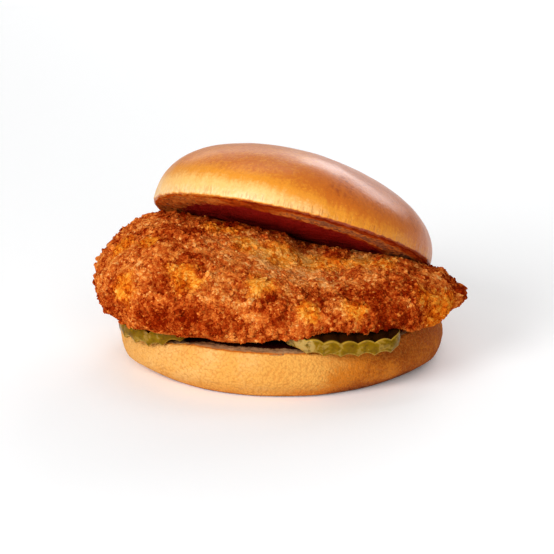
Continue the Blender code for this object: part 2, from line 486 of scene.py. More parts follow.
@dataclass(frozen=True)
class Crumb(Finish):
    """Cut bread: an open crumb, toasted by its bake value."""

    stops: Stops = ()
    hole: float = 1.1 * MM
    hole_tone: float = 0.22
    hole_shade: float = 0.5
    fine_share: float = 0.4
    crumble: float = 0.4
    cloud: float = 0.16
    cloud_size: float = 6.0 * MM
    depth: float = 0.35 * MM
    shade: Colour = (0.2, 0.08, 0.03)
    # Colour of the painted shade over the shaded middle of a cut face.
    stain: Colour = (0.05, 0.004, 0.002)

    def wire(self, wiring: Wiring, shader: bpy.types.Node, effects: Effects) -> None:
        """Toast colour with painted shade in the holes and a painted dark shade where marked, and the
        relief of the crumb.
        """
        place = wiring.mark(Mark.DOUGH)
        bake = wiring.mark(Mark.BAKE)
        grain = self.grain(wiring, effects, place, self.hole, self.crumble)
        fine = self.grain(wiring, effects, place, self.fine_share * self.hole, self.crumble)
        cloud = self.mottle(wiring, effects, place, self.cloud_size)
        level = wiring.plus(bake, wiring.times(cloud, self.cloud))
        level = wiring.minus(level, wiring.times(grain.outputs["Pits"], self.hole_tone))
        colour = wiring.ramp(level, self.stops)
        # Painted shade in the holes of the crumb.
        holes = wiring.times(grain.outputs["Pits"], self.hole_shade)
        colour = wiring.blend(holes, colour, self.shade)
        speck = wiring.swing(fine.outputs["Tone"], 0.5, 0.3)
        # Painted dark shade where marked, its edge made ragged by fine noise.
        stained = wiring.fade(wiring.plus(wiring.mark(Mark.PIT), speck), 0.15, 0.85)
        colour = wiring.blend(stained, colour, self.stain)
        height = wiring.plus(grain.outputs["Height"], wiring.times(fine.outputs[0], self.fine_share))
        normal = wiring.bump(height, 0.9, self.depth)
        wiring.feed(shader, {"Base Color": colour, "Normal": normal})


@dataclass(frozen=True)
class Breading(Finish):
    """Fried breading: grainy, golden where thin, and red-brown where it fried most and where shade is
    painted.
    """

    stops: Stops = ()
    golden: Stops = ()
    pit_colour: Colour = (0.2, 0.03, 0.005)
    grain_size: float = 1.1 * MM
    grain_tone: float = 0.34
    fine_share: float = 0.42
    fine_tone: float = 0.3
    fine_height: float = 0.45
    crumb_tone: float = 0.5
    crumble: float = 0.5
    cloud: float = 0.5
    cloud_size: float = 3.0 * MM
    gold_shift: float = -0.35
    gold_strength: float = 0.72
    pit_strength: float = 0.6
    shine: tuple[float, float] = (0.24, 0.55)
    depth: float = 0.45 * MM

    def wire(self, wiring: Wiring, shader: bpy.types.Node, effects: Effects) -> None:
        """Fry colour in patches and per crumb, pale glint grains as painted highlights, painted shade
        in the hollows between grains, oily grains and fine relief.
        """
        place = wiring.add("ShaderNodeTexCoord").outputs["Object"]
        grain = self.grain(wiring, effects, place, self.grain_size, self.crumble)
        fine = self.grain(wiring, effects, place, self.fine_share * self.grain_size, self.crumble)
        shift = wiring.swing(wiring.cloud(place, self.cloud_size, 3.0), 0.5, self.cloud)
        for node, share in ((grain, self.grain_tone), (fine, self.fine_tone)):
            shift = wiring.plus(shift, wiring.swing(node.outputs["Tone"], 0.5, share))
        # Tone of each crumb, lifted pale on the glint grains as painted highlights.
        shift = wiring.plus(shift, wiring.times(wiring.mark(Mark.TONE), self.crumb_tone))
        level = wiring.plus(wiring.mark(Mark.BAKE), shift)
        colour = wiring.ramp(level, self.stops)
        gold = wiring.plus(wiring.mark(Mark.GOLD), wiring.times(shift, self.gold_shift))
        golden = wiring.ramp(level, self.golden)
        gilt = wiring.times(wiring.fade(gold, 0.05, 0.95), self.gold_strength)
        colour = wiring.blend(gilt, colour, golden)
        # Painted shade in the hollows between grains and in the marked hollows.
        gaps = wiring.times(grain.outputs["Pits"], self.pit_strength)
        pits = wiring.maths("MAXIMUM", wiring.mark(Mark.PIT), gaps)
        colour = wiring.blend(wiring.times(pits, self.pit_strength), colour, self.pit_colour)
        height = wiring.plus(grain.outputs["Height"], wiring.times(fine.outputs[0], self.fine_height))
        oily, dry = self.shine
        shine_feeds = {"Value": grain.outputs["Tone"], "To Min": oily, "To Max": dry}
        shine = wiring.add("ShaderNodeMapRange", shine_feeds).outputs[0]
        normal = wiring.bump(height, 1.0, self.depth)
        wiring.feed(shader, {"Base Color": colour, "Roughness": shine, "Normal": normal})


@dataclass(frozen=True)
class Pickle(Finish):
    """Wet pickle: olive skin, glowing flesh, a painted highlight along its cut ridges, and painted
    shade where the filet covers it.
    """

    skin: Colour = (0.15, 0.14, 0.01)
    flesh: Colour = (0.35, 0.33, 0.03)
    # Colour of the painted highlight along the cut edges.
    edge: Colour = (0.6, 0.55, 0.2)
    pale: Colour = (0.4, 0.42, 0.22)
    # Colour of the painted shade, also given to the random dark spots.
    stain: Colour = (0.05, 0.004, 0.002)
    cloud_size: float = 2.6 * MM
    grain_size: float = 0.9 * MM
    crumble: float = 0.6
    glow: float = 0.45
    spotted: float = 0.3
    depth: float = 0.08 * MM

    def wire(self, wiring: Wiring, shader: bpy.types.Node, effects: Effects) -> None:
        """Skin and flesh by bake, pale flesh by gold, painted highlight on the cut edges by rise, and
        painted shade and dark spots by the painted-shade mark.
        """
        place = wiring.add("ShaderNodeTexCoord").outputs["Object"]
        cloud = self.mottle(wiring, effects, place, self.cloud_size)
        grain = self.grain(wiring, effects, place, self.grain_size, self.crumble)
        colour = wiring.blend(wiring.mark(Mark.BAKE), self.flesh, self.skin)
        colour = wiring.blend(wiring.times(cloud, self.glow), colour, self.flesh)
        pale = wiring.plus(wiring.mark(Mark.GOLD), wiring.minus(cloud, 0.5))
        colour = wiring.blend(wiring.fade(pale, 0.3, 0.8), colour, self.pale)
        # Painted highlight along the cut edges.
        colour = wiring.blend(wiring.mark(Mark.RISE), colour, self.edge)
        spots = wiring.times(wiring.fade(grain.outputs["Tone"], 0.8, 0.95), self.spotted)
        # Painted shade, with random dark spots in the same colour.
        stained = wiring.maths("MAXIMUM", wiring.mark(Mark.PIT), spots)
        colour = wiring.blend(stained, colour, self.stain)
        normal = wiring.bump(grain.outputs["Height"], 0.5, self.depth)
        wiring.feed(shader, {"Base Color": colour, "Normal": normal})


@dataclass(frozen=True)
class Plain(Finish):
    """Studio floor: one pale tone with a faint glow, as of a lit table."""

    tone: Colour = (0.9, 0.9, 0.9)
    glow: float = 0.0

    def wire(self, wiring: Wiring, shader: bpy.types.Node, effects: Effects) -> None:
        """A pale tone and its glow."""
        shader.inputs["Base Color"].default_value = (*self.tone, 1.0)
        shader.inputs["Emission Color"].default_value = (1.0, 1.0, 1.0, 1.0)
        shader.inputs["Emission Strength"].default_value = self.glow


CROWN_CRUST = Crust(
    name="crown_crust",
    roughness=0.42,
    specular=0.25,
    coat=0.36,
    coat_roughness=0.26,
    stops=(
        (0.0, tint(246, 214, 158)),
        (0.28, tint(242, 186, 104)),
        (0.55, tint(226, 142, 30)),
        (0.78, tint(202, 104, 14)),
        (1.0, tint(140, 44, 8)),
    ),
    pore=0.75 * MM,
    pore_depth=0.13 * MM,
    cloud=0.08,
    streak=0.16,
    crease=0.32,
    crease_height=3.6 * MM,
    # Painted shade in the pores and creases.
    speckle=tint(170, 96, 36),
    speckled=0.16,
)
CROWN_CRUMB = Crumb(
    name="crown_crumb",
    roughness=0.9,
    specular=0.0,
    stops=(
        (0.0, tint(150, 96, 66)),
        (0.3, tint(218, 122, 48)),
        (0.65, tint(190, 76, 18)),
        (1.0, tint(132, 34, 8)),
    ),
    shade=tint(116, 36, 10),
    # Colour of the painted shade in the gap over the filet.
    stain=tint(138, 28, 22),
)
HEEL_CRUST = Crust(
    name="heel_crust",
    roughness=0.75,
    specular=0.06,
    stops=(
        (0.0, tint(232, 180, 108)),
        (0.35, tint(226, 160, 74)),
        (0.65, tint(206, 118, 30)),
        (0.85, tint(160, 76, 14)),
        (1.0, tint(108, 46, 12)),
    ),
    pore=0.78 * MM,
    pore_depth=0.45 * MM,
    crumble=0.2,
    # Painted shade in the pores.
    speckle=tint(190, 114, 44),
    speckled=0.4,
)
HEEL_CRUMB = Crumb(
    name="heel_crumb",
    roughness=0.9,
    specular=0.0,
    stops=(
        (0.0, tint(176, 134, 94)),
        (0.35, tint(168, 118, 72)),
        (0.7, tint(196, 100, 26)),
        (1.0, tint(150, 64, 14)),
    ),
    shade=tint(104, 66, 40),
    # Colour of the painted shade under the filet, partly juice as well.
    stain=tint(52, 8, 5),
)
FRIED_BREADING = Breading(
    name="fried_breading",
    roughness=0.5,
    specular=0.0,
    stops=(
        # The glint grains reach the palest stop, as painted highlights.
        (0.0, tint(250, 184, 108)),
        (0.2, tint(236, 142, 60)),
        (0.5, tint(200, 93, 30)),
        (0.75, tint(158, 51, 9)),
        (1.0, tint(112, 20, 1)),
    ),
    golden=(
        (0.0, tint(254, 194, 88)),
        (0.3, tint(246, 154, 36)),
        (0.6, tint(226, 110, 12)),
        (1.0, tint(172, 54, 2)),
    ),
    # Colour of the painted shade in the hollows.
    pit_colour=tint(122, 26, 1),
)
PICKLE_CHIP = Pickle(
    name="pickle_chip",
    roughness=0.3,
    specular=0.05,
    coat=0.05,
    coat_roughness=0.1,
    subsurface=0.12,
    subsurface_depth=1.5 * MM,
    skin=tint(112, 80, 0),
    flesh=tint(156, 118, 2),
    # Painted highlight colour of the cut edges.
    edge=tint(196, 154, 54),
    pale=tint(174, 140, 74),
    # Painted shade colour, also of the dark spots.
    stain=tint(34, 4, 3),
)
STUDIO_FLOOR = Plain(name="studio_floor", roughness=0.7, tone=(0.915, 0.92, 0.925), glow=0.1)


# --------------------------------------------------------------------------
# Pieces
# --------------------------------------------------------------------------


class Marks:
    """Painted values of a mesh under construction, one layer for each mark."""

    def __init__(self, body: bmesh.types.BMesh, *marks: Mark) -> None:
        """Add the layers that are missing."""
        self.layers = {}
        for mark in marks:
            kind = body.verts.layers.float_vector if mark is Mark.DOUGH else body.verts.layers.float
            self.layers[mark] = kind.get(mark.value) or kind.new(mark.value)

    def paint(self, vertex: bmesh.types.BMVert, **values: object) -> None:
        """Set values of a vertex by the marks' names in lower case."""
        for label, value in values.items():
            vertex[self.layers[Mark(label)]] = value


@dataclass
class Piece(ABC):
    """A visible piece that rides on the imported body."""

    name: str
    slot: Slot
    stands_for: tuple[str, ...] = ()
    smooth: bool = True

    @abstractmethod
    def mesh(self) -> bpy.types.Mesh:
        """Build the piece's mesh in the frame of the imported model."""

    @abstractmethod
    def finishes(self) -> tuple[Finish, ...]:
        """Finishes in the order of the mesh's material numbers."""

    def build(self, wardrobe: "Wardrobe") -> bpy.types.Object:
        """Make the object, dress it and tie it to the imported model.

        Args:
            wardrobe: Keeps one material for each finish.

        Returns:
            The finished object.
        """
        made = self.mesh()
        made.name = self.name
        numbers = [face.material_index for face in made.polygons]
        made.materials.clear()
        for finish in self.finishes():
            made.materials.append(wardrobe.material(finish))
        made.polygons.foreach_set("material_index", numbers)
        if self.smooth:
            made.shade_smooth()
        item = bpy.data.objects.new(self.name, made)
        bpy.context.scene.collection.objects.link(item)
        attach(item, "root")
        if self.stands_for:
            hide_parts(*self.stands_for)
        made.calc_loop_triangles()
        LOG.info("%s: %d triangles", self.name, len(made.loop_triangles))
        return item

    def as_mesh(self, body: bmesh.types.BMesh) -> bpy.types.Mesh:
        """Turn a finished bmesh into a mesh and free it."""
        made = bpy.data.meshes.new(self.name)
        body.to_mesh(made)
        body.free()
        return made


class Wardrobe:
    """Materials by finish, so that pieces of one finish share one."""

    def __init__(self) -> None:
        """Start empty, with the shared effects ready."""
        self.effects = Effects()
        self.made: dict[str, bpy.types.Material] = {}

    def material(self, finish: Finish) -> bpy.types.Material:
        """The finish's material, made when first asked for."""
        if finish.name not in self.made:
            self.made[finish.name] = finish.material(self.effects)
        return self.made[finish.name]


@dataclass(frozen=True)
class ChipPlace:
    """Where a pickle chip lies on the heel.

    The heading is that of its ridges. Press is how far it pushes the heel's rim
    down, and fade is how far past the chip that dip runs out.
    """

    x: float
    y: float
    heading: float
    press: float
    fade: float


CHIP_RADIUS = 18.3 * MM
CHIP_BED = 2.0 * MM
LEFT_CHIP = ChipPlace(-32.4 * MM, -18.4 * MM, math.radians(-35.0), 1.6 * MM, 7.0 * MM)
RIGHT_CHIP = ChipPlace(18.0 * MM, -32.2 * MM, math.radians(8.0), 0.3 * MM, 7.0 * MM)


@dataclass
class Heel(Piece):
    """Lower half of the bun: pebbled side, torn cut rim and a pale open crumb."""

    base_share: float = 0.92
    top_share: float = 0.978
    widest: float = 8.0 * MM
    edge: float = 1.8 * MM
    press_start: float = 30.0 * MM
    press_full: float = 49.0 * MM
    flank: float = 18.0 * MM
    flank_span: float = 28.0 * MM
    front: float = 8.0 * MM
    front_span: float = 30.0 * MM
    foot: float = 7.0 * MM
    tuck: float = 2.4 * MM
    steps: int = 88
    cuts: int = 9

    def __post_init__(self) -> None:
        """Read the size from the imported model."""
        low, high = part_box("bun_heel")
        self.radius = 0.5 * (high.x - low.x)
        self.height = high.z

    def top(self, x: float, y: float) -> float:
        """Height of the cut face, pressed down where a chip lies on its rim."""
        span = self.press_full - self.press_start
        rim = ease((math.hypot(x, y) - self.press_start) / span)
        pressed = 0.0
        for chip in (LEFT_CHIP, RIGHT_CHIP):
            away = math.hypot(x - chip.x, y - chip.y) - (CHIP_RADIUS - CHIP_BED)
            pressed = max(pressed, chip.press * (1.0 - ease(away / chip.fade)))
        return self.height - rim * pressed

    def profile(self) -> list[tuple[float, float]]:
        """Turned outline from the middle of the base to the middle of the top."""
        base = self.base_share * self.radius
        top = self.top_share * self.radius
        bulge = self.radius - base
        flat = [(radius, 0.0) for radius in spread(0.0, base - 0.8 * MM, 8)]
        side = []
        for turn in spread(0.0, 0.5 * math.pi, 16):
            side.append((base + bulge * math.sin(turn), self.widest * (1.0 - math.cos(turn))))
        shoulder = self.height - self.edge
        upper = []
        for share in spread(0.0, 1.0, 13)[:-1]:
            reach = self.radius + (top - self.radius) * share * share
            upper.append((reach, self.widest + (shoulder - self.widest) * share))
        rim = arc((top - self.edge, shoulder), self.edge, 0.0, 90.0, 6)
        seen = [(radius, self.height) for radius in spread(top - self.edge, self.press_start, 30)]
        inner = [(radius, self.height) for radius in spread(self.press_start, 0.0, 8)]
        return [(0.0, 0.0), *flat, (base - 0.3 * MM, 0.12 * MM), *side, *upper, *rim, *seen, *inner]

    def mesh(self) -> bpy.types.Mesh:
        """Turn the outline, then press, dent and pebble it."""
        body = turned(self.profile(), self.steps, self.cuts)
        marks = Marks(body, Mark.BAKE, Mark.RISE, Mark.PIT, Mark.DOUGH)
        body.normal_update()
        for vertex in body.verts:
            place = vertex.co.copy()
            vertex.co.x += self.slant(place)
            vertex.co.y += self.front_tuck(place)
            upper = ease((place.z - self.widest) / (self.height - self.widest))
            crumb = ease((place.z - self.height + 0.9 * MM) / (0.5 * MM))
            lift = ease(place.z / (1.2 * MM))
            vertex.co += vertex.normal * (lift * self.relief(place, crumb))
            vertex.co.z -= upper * (self.height - self.top(place.x, place.y))
            vertex.co.z += upper * (1.0 - crumb) * 0.25 * MM * swell(place, 3.0 * MM, 8.1)
            # Painted shade where the filet shades the cut face, partly juice as well.
            stain = crumb * self.stain(place)
            marks.paint(vertex, dough=place, rise=place.z, pit=stain, bake=self.bake(place, crumb))
        for face in body.faces:
            middle = face.calc_center_median()
            inside = math.hypot(middle.x, middle.y) < self.top_share * self.radius - 0.25 * self.edge
            face.material_index = int(inside and middle.z > self.widest)
        return self.as_mesh(body)

    def front_tuck(self, place: Vector) -> float:
        """Backward shift that draws the foot of the front in."""
        front = ease((-place.y - self.front) / self.front_span)
        return self.tuck * front * (1.0 - ease(place.z / self.foot))

    def slant(self, place: Vector) -> float:
        """Sideways shift that tucks both feet in, leans the left side out and fills the right one."""
        left = ease((-place.x - self.flank) / self.flank_span)
        right = ease((place.x - self.flank) / self.flank_span)
        rise = ease(place.z / (4.0 * MM))
        middle = 1.0 - ease((place.z - 7.0 * MM) / (6.0 * MM))
        return left * (1.4 - 2.8 * rise) * MM + right * (2.4 * rise - 1.0) * middle * MM

    def relief(self, place: Vector, crumb: float) -> float:
        """Height of dents and pebbles on the crust, or of the open crumb."""
        crust = 0.45 * MM * swell(place, 14.0 * MM, 1.7) + 0.16 * MM * swell(place, 4.0 * MM, 5.2)
        crust += 0.14 * MM * cobble(place, 1.5 * MM, 3.3)
        open_crumb = 0.45 * MM * (cobble(place, 2.4 * MM, 6.4) - 0.8)
        return crust * (1.0 - crumb) + open_crumb * crumb

    def bake(self, place: Vector, crumb: float) -> float:
        """Browning: darkest along the base and at the cut rim, and darker to the right, partly browning
        and partly painted shade.
        """
        base_line = 1.0 - ease(place.z / (1.0 * MM))
        low_side = 0.16 * (1.0 - ease((place.z - 0.6 * MM) / (4.0 * MM)))
        # Darker to the right: partly browning, partly painted shade away from the key lamp on the left.
        right = 0.58 * ease((place.x + 14.0 * MM) / (54.0 * MM))
        patches = 0.16 * swell(place, 11.0 * MM, 9.4)
        crust = 0.22 + right + low_side + patches + 0.6 * base_line
        past_rim = ease((math.hypot(place.x, place.y) - 48.9 * MM) / (0.5 * MM))
        toast = 0.06 + 0.72 * past_rim + 0.16 * swell(place, 5.0 * MM, 2.6)
        return crust * (1.0 - crumb) + toast * crumb

    def stain(self, place: Vector) -> float:
        """Painted shade on the cut face in the gap under the filet, partly juice as well, inside a ring
        of dry crumb; it fades out towards the back.
        """
        ragged = 1.2 * MM * swell(place, 4.0 * MM, 7.2)
        inside = 1.0 - ease((math.hypot(place.x, place.y) + ragged - 45.0 * MM) / (1.8 * MM))
        return inside * (1.0 - 0.9 * ease((place.y + 16.0 * MM) / (14.0 * MM)))

    def finishes(self) -> tuple[Finish, ...]:
        """Crust, then crumb."""
        return (HEEL_CRUST, HEEL_CRUMB)


@dataclass
class Crown(Piece):
    """Upper half of the bun: a glossy lopsided dome leaning back over the filet."""

    radius: float = 46.4 * MM
    height: float = 26.4 * MM
    edge: float = 1.4 * MM
    widest: float = 2.6 * MM
    fullness: float = 2.12
    lopside: float = 0.08
    dome_turn: float = math.radians(87.0)
    centre: tuple[float, float, float] = (3.2 * MM, 5.0 * MM, 36.9 * MM)
    tilt: float = math.radians(29.8)
    lean: float = math.radians(62.1)
    gap: float = 0.35 * MM
    steps: int = 80
    cuts: int = 6

    def place(self) -> Matrix:
        """Turn and move from the crown's own frame to the burger's."""
        axis = Vector((-math.sin(self.lean), math.cos(self.lean), 0.0))
        return Matrix.Translation(self.centre) @ Matrix.Rotation(self.tilt, 4, axis)

    def profile(self) -> list[tuple[float, float]]:
        """Turned outline from the middle of the cut face over the rim to the top."""
        power = 2.0 / self.fullness
        rise = self.height - self.widest
        inner = [(radius, 0.0) for radius in spread(0.0, 0.5 * self.radius, 10)]
        seen = [(radius, 0.0) for radius in spread(0.5 * self.radius, self.radius - self.edge, 34)]
        rim = arc((self.radius - self.edge, self.edge), self.edge, -90.0, 0.0, 7)[1:]
        dome = []
        for angle in spread(0.0, self.dome_turn, 84):
            reach = self.radius * math.cos(angle) ** power
            dome.append((reach, self.widest + rise * math.sin(angle) ** power))
        return [(0.0, 0.0), *inner, *seen, *rim, *dome, (0.0, self.height)]

    def mesh(self) -> bpy.types.Mesh:
        """Turn the outline, wrinkle it, lean it back and rest it on the heel."""
        body = turned(self.profile(), self.steps, self.cuts)
        marks = Marks(body, Mark.BAKE, Mark.RISE, Mark.PIT, Mark.DOUGH)
        body.normal_update()
        place = self.place()
        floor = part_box("bun_heel")[1].z + self.gap
        for vertex in body.verts:
            rest = vertex.co.copy()
            cut = 1.0 - ease((rest.z - 0.15 * MM) / (0.5 * MM))
            vertex.co += vertex.normal * self.relief(rest, cut)
            if rest.z > self.widest:
                vertex.co.z -= rest.z * self.lopside * rest.x / self.radius
            # Painted shade on the cut face, where the gap over the filet is in shadow.
            stain = cut * self.stain(rest)
            marks.paint(vertex, dough=rest, rise=rest.z, pit=stain, bake=self.bake(rest, cut))
            vertex.co = place @ vertex.co
            vertex.co.z = max(vertex.co.z, floor)
        local = place.inverted()
        for face in body.faces:
            middle = local @ face.calc_center_median()
            inside = math.hypot(middle.x, middle.y) < self.radius - 0.6 * self.edge
            face.material_index = int(inside and middle.z < 0.1 * self.height)
        return self.as_mesh(body)

    def relief(self, place: Vector, cut: float) -> float:
        """Height of the dome's soft lumps and rim creases, or of the cut crumb."""
        near_rim = 1.0 - ease((place.z - 0.6 * MM) / (6.0 * MM))
        crust = 0.45 * MM * swell(place, 22.0 * MM, 4.6) + 0.12 * MM * swell(place, 6.0 * MM, 7.7)
        upright = Vector((place.x, place.y, 0.15 * place.z))
        crust += 0.14 * MM * near_rim * swell(upright, 1.8 * MM, 2.9)
        crust += 0.30 * MM * near_rim * swell(place, 7.0 * MM, 6.1)
        crumb = 0.5 * MM * (cobble(place, 2.2 * MM, 5.5) - 0.9) + 0.2 * MM * swell(place, 5.0 * MM, 8.3)
        return crust * (1.0 - cut) + crumb * cut

    def bake(self, place: Vector, cut: float) -> float:
        """Browning of the dome from a pale band at the rim, and of the cut face. The band is paler and
        taller toward the front-left and the dome darker to the right, as painted light and shade.
        """
        ring = math.hypot(place.x, place.y)
        bearing = math.atan2(place.y, place.x)
        # Painted light: the pale band is paler and taller toward the front-left, where the key lamp
        # stands.
        front = (0.5 + 0.5 * math.cos(bearing - math.radians(217.0))) ** 2
        band = 1.0 - ease((place.z - 0.5 * MM) / ((8.0 + 4.0 * front) * MM))
        # Painted shade: a little darker to the right.
        right = 0.15 * ease((place.x + 14.0 * MM) / (30.0 * MM))
        crust = 0.67 + right - (0.14 + 0.41 * front) * band + 0.07 * swell(place, 16.0 * MM, 3.2)
        ragged = 0.35 * MM * swell(place, 1.3 * MM, 9.1)
        crust += 0.7 * (1.0 - ease((place.z + ragged - 0.5 * MM) / (0.6 * MM)))
        depth = self.radius - ring
        left = ease((-place.x - 16.0 * MM) / (16.0 * MM))
        toast = 0.74 - 0.44 * left + 0.24 * swell(place, 3.0 * MM, 8.8)
        toast += 0.3 * (1.0 - ease((depth - 1.2 * MM) / (0.8 * MM)))
        open_band = self.cut_band(place) * ease((place.x + 12.0 * MM) / (10.0 * MM))
        crumb = toast + (0.08 - toast) * open_band
        return crust * (1.0 - cut) + crumb * cut

    def cut_band(self, place: Vector) -> float:
        """1 along the open crumb that runs a little inside the rim of the cut face."""
        depth = self.radius - math.hypot(place.x, place.y) + 1.2 * MM * swell(place, 6.0 * MM, 4.1)
        return 1.0 - ease((abs(depth - 9.0 * MM) - 3.4 * MM) / (2.0 * MM))

    def stain(self, place: Vector) -> float:
        """Painted shade over the middle of the cut face, out to the open crumb, where the gap over the
        filet is in shadow.
        """
        depth = self.radius - math.hypot(place.x, place.y) + 1.6 * MM * swell(place, 5.0 * MM, 3.7)
        start = (8.0 + 5.0 * ease((place.x + 18.0 * MM) / (20.0 * MM))) * MM
        return ease((depth - start) / (4.0 * MM)) * (0.9 + 0.2 * swell(place, 3.5 * MM, 6.6))

    def finishes(self) -> tuple[Finish, ...]:
        """Crust, then crumb."""
        return (CROWN_CRUST, CROWN_CRUMB)


@dataclass
class PickleChip(Piece):
    """Crinkle-cut pickle chip whose two faces ripple together."""

    spot: ChipPlace = LEFT_CHIP
    pale_end: float = 0.0
    # Radius inside which the chip is painted in shade, where the filet shades it.
    juice_radius: float = 0.0
    squareness: float = 2.5
    radius: float = CHIP_RADIUS
    thickness: float = 4.2 * MM
    pitch: float = 5.4 * MM
    phase: float = -2.0 * MM
    wave: float = 0.5 * MM
    clearance: float = 0.55 * MM
    droop_radius: float = 47.5 * MM
    droop: float = 45.0
    droop_width: float = 6.3 * MM
    columns: int = 150
    rows: int = 44

    def rest(self, heel: Heel, x: float, y: float, across: float) -> float:
        """Height of the chip's lower face: round crests, and sharp troughs between them.

        Args:
            heel: The heel that the chip lies on.
            x: Place along the filet.
            y: Place away from the front.
            across: Distance from the chip's middle, across its ridges.

        Returns:
            The height in metres.
        """
        past_rim = min(max(0.0, math.hypot(x, y) - self.droop_radius), self.droop_width)
        crest = abs(math.cos(math.pi * (across - self.phase) / self.pitch)) ** 0.85
        return heel.top(x, y) + self.clearance + 2.0 * self.wave * crest - self.droop * past_rim**2

    def mesh(self) -> bpy.types.Mesh:
        """Lay a rounded grid on the heel, thicken it and round its skin."""
        heel = Heel("heel", Slot.HEEL)
        body = bmesh.new()
        bmesh.ops.create_grid(body, x_segments=self.columns, y_segments=self.rows, size=1.0)
        turn = Matrix.Rotation(self.spot.heading, 2)
        for vertex in body.verts:
            column, row, _ = vertex.co
            across = 0.5 * (column + math.sin(0.5 * math.pi * column)) * 0.992 * self.radius
            chord = 1.0 - (abs(across) / self.radius) ** self.squareness
            along = row * self.radius * chord ** (1.0 / self.squareness)
            shift = turn @ Vector((across, along))
            x, y = self.spot.x + shift.x, self.spot.y + shift.y
            vertex.co = (x, y, self.rest(heel, x, y, across))
        lifted = bmesh.ops.extrude_face_region(body, geom=body.faces[:])
        top = [item for item in lifted["geom"] if isinstance(item, bmesh.types.BMVert)]
        bmesh.ops.translate(body, verts=top, vec=(0.0, 0.0, self.thickness))
        walls = [e for e in body.edges if abs(e.verts[0].co.z - e.verts[1].co.z) > 0.9 * self.thickness]
        bmesh.ops.subdivide_edges(body, edges=walls, cuts=7, use_grid_fill=True)
        bmesh.ops.recalc_face_normals(body, faces=body.faces)
        body.normal_update()
        marks = Marks(body, Mark.BAKE, Mark.GOLD, Mark.RISE, Mark.PIT)
        for vertex in body.verts:
            self.shape(vertex, heel, turn, marks)
        return self.as_mesh(body)

    def shape(self, vertex: bmesh.types.BMVert, heel: Heel, turn: Matrix, marks: Marks) -> None:
        """Bulge the skin, round its edges and paint the vertex.

        Args:
            vertex: The point to finish.
            heel: The heel that the chip lies on.
            turn: Turn of the chip's ridges.
            marks: Painted values of the chip.
        """
        away = turn.inverted() @ Vector((vertex.co.x - self.spot.x, vertex.co.y - self.spot.y))
        across = away.x
        chord = max(1e-9, 1.0 - (abs(across) / self.radius) ** self.squareness)
        reach = self.radius * chord ** (1.0 / self.squareness)
        from_rim = min(reach - abs(away.y), self.radius - abs(across))
        low = self.rest(heel, vertex.co.x, vertex.co.y, across)
        share = (vertex.co.z - low) / self.thickness
        outward = 1.0 - ease(from_rim / (0.9 * MM))
        bulge = 4.0 * share * (1.0 - share)
        outwards = (turn @ away).normalized()
        vertex.co.x += outwards.x * outward * (0.5 * bulge - 0.35) * MM
        vertex.co.y += outwards.y * outward * (0.5 * bulge - 0.35) * MM
        vertex.co.z += 0.10 * MM * swell(vertex.co, 2.2 * MM, 4.4)
        # Painted highlight along the edges of the cut faces.
        cut_edge = outward * (1.0 - ease(min(share, 1.0 - share) / 0.13))
        pale = self.pale_end * (1.0 - ease((vertex.co.x - self.spot.x + 11.0 * MM) / (4.0 * MM)))
        # Painted shade on the top face under the filet, and inside the radius where the filet shades
        # the chip.
        stain = 0.97 * ease((from_rim - 0.25 * MM) / (0.6 * MM)) * ease((share - 0.8) / 0.1)
        past_juice = (math.hypot(vertex.co.x, vertex.co.y) - self.juice_radius) / (1.5 * MM)
        stain = max(stain, 1.0 - ease(past_juice))
        marks.paint(vertex, bake=outward, gold=pale, rise=0.7 * cut_edge, pit=stain)

    def finishes(self) -> tuple[Finish, ...]:
        """Wet pickle all over."""
        return (PICKLE_CHIP,)


@dataclass(frozen=True)
class Spot:
    """A round patch on the filet, in millimetres."""

    x: float
    y: float
    z: float
    size: float

    def share(self, place: Vector, ragged: float) -> float:
        """1 at the patch's centre, easing to 0 at its edge, which ragged moves in or out."""
        away = math.dist(place, (self.x * MM, self.y * MM, self.z * MM)) * ragged / (self.size * MM)
        return 1.0 - ease((away - 0.25) / 0.75) if away < 1.0 else 0.0


@dataclass(frozen=True)
class Push:
    """A soft push on part of the filet: where, how wide, and how far, in millimetres."""

    place: tuple[float, float, float]
    size: float
    shift: tuple[float, float, float]

    def move(self, place: Vector) -> Vector:
        """How far the push moves a point."""
        share = 1.0 - ease(math.dist(place, Vector(self.place) * MM) / (self.size * MM))
        return Vector(self.shift) * (share * MM)


PUSHES = (
    Push((-60, -16, 28), 18, (1.3, 0.0, 0.0)),
    Push((-14, -12, 42), 16, (0.0, 0.0, 1.7)),
    Push((-3, -16, 39), 10, (0.0, 0.0, 0.8)),
    Push((0, -10, 40), 13, (0.0, -0.5, 2.9)),
    Push((-12, -3, 41), 9, (0.0, 0.0, 1.5)),
    Push((-2, -2, 38), 9, (0.0, 0.0, 1.8)),
    Push((17, -7, 36), 7, (0.0, -0.6, 2.2)),
    Push((6, -47, 22), 11, (0.0, 0.0, -2.2)),
    Push((-43, -36, 18), 9, (0.0, 0.0, 1.3)),
    Push((-15, -46, 22), 17, (0.0, 0.0, -1.9)),
    Push((41, -36, 20), 8, (0.0, -0.4, -1.9)),
    Push((53, -22, 19), 9, (0.0, 0.0, 1.6)),
)
FOLD = ((-43, -14, 45), (-37, -17, 45.5), (-31, -20, 45), (-26, -23, 43.5), (-24, -27, 41.5))

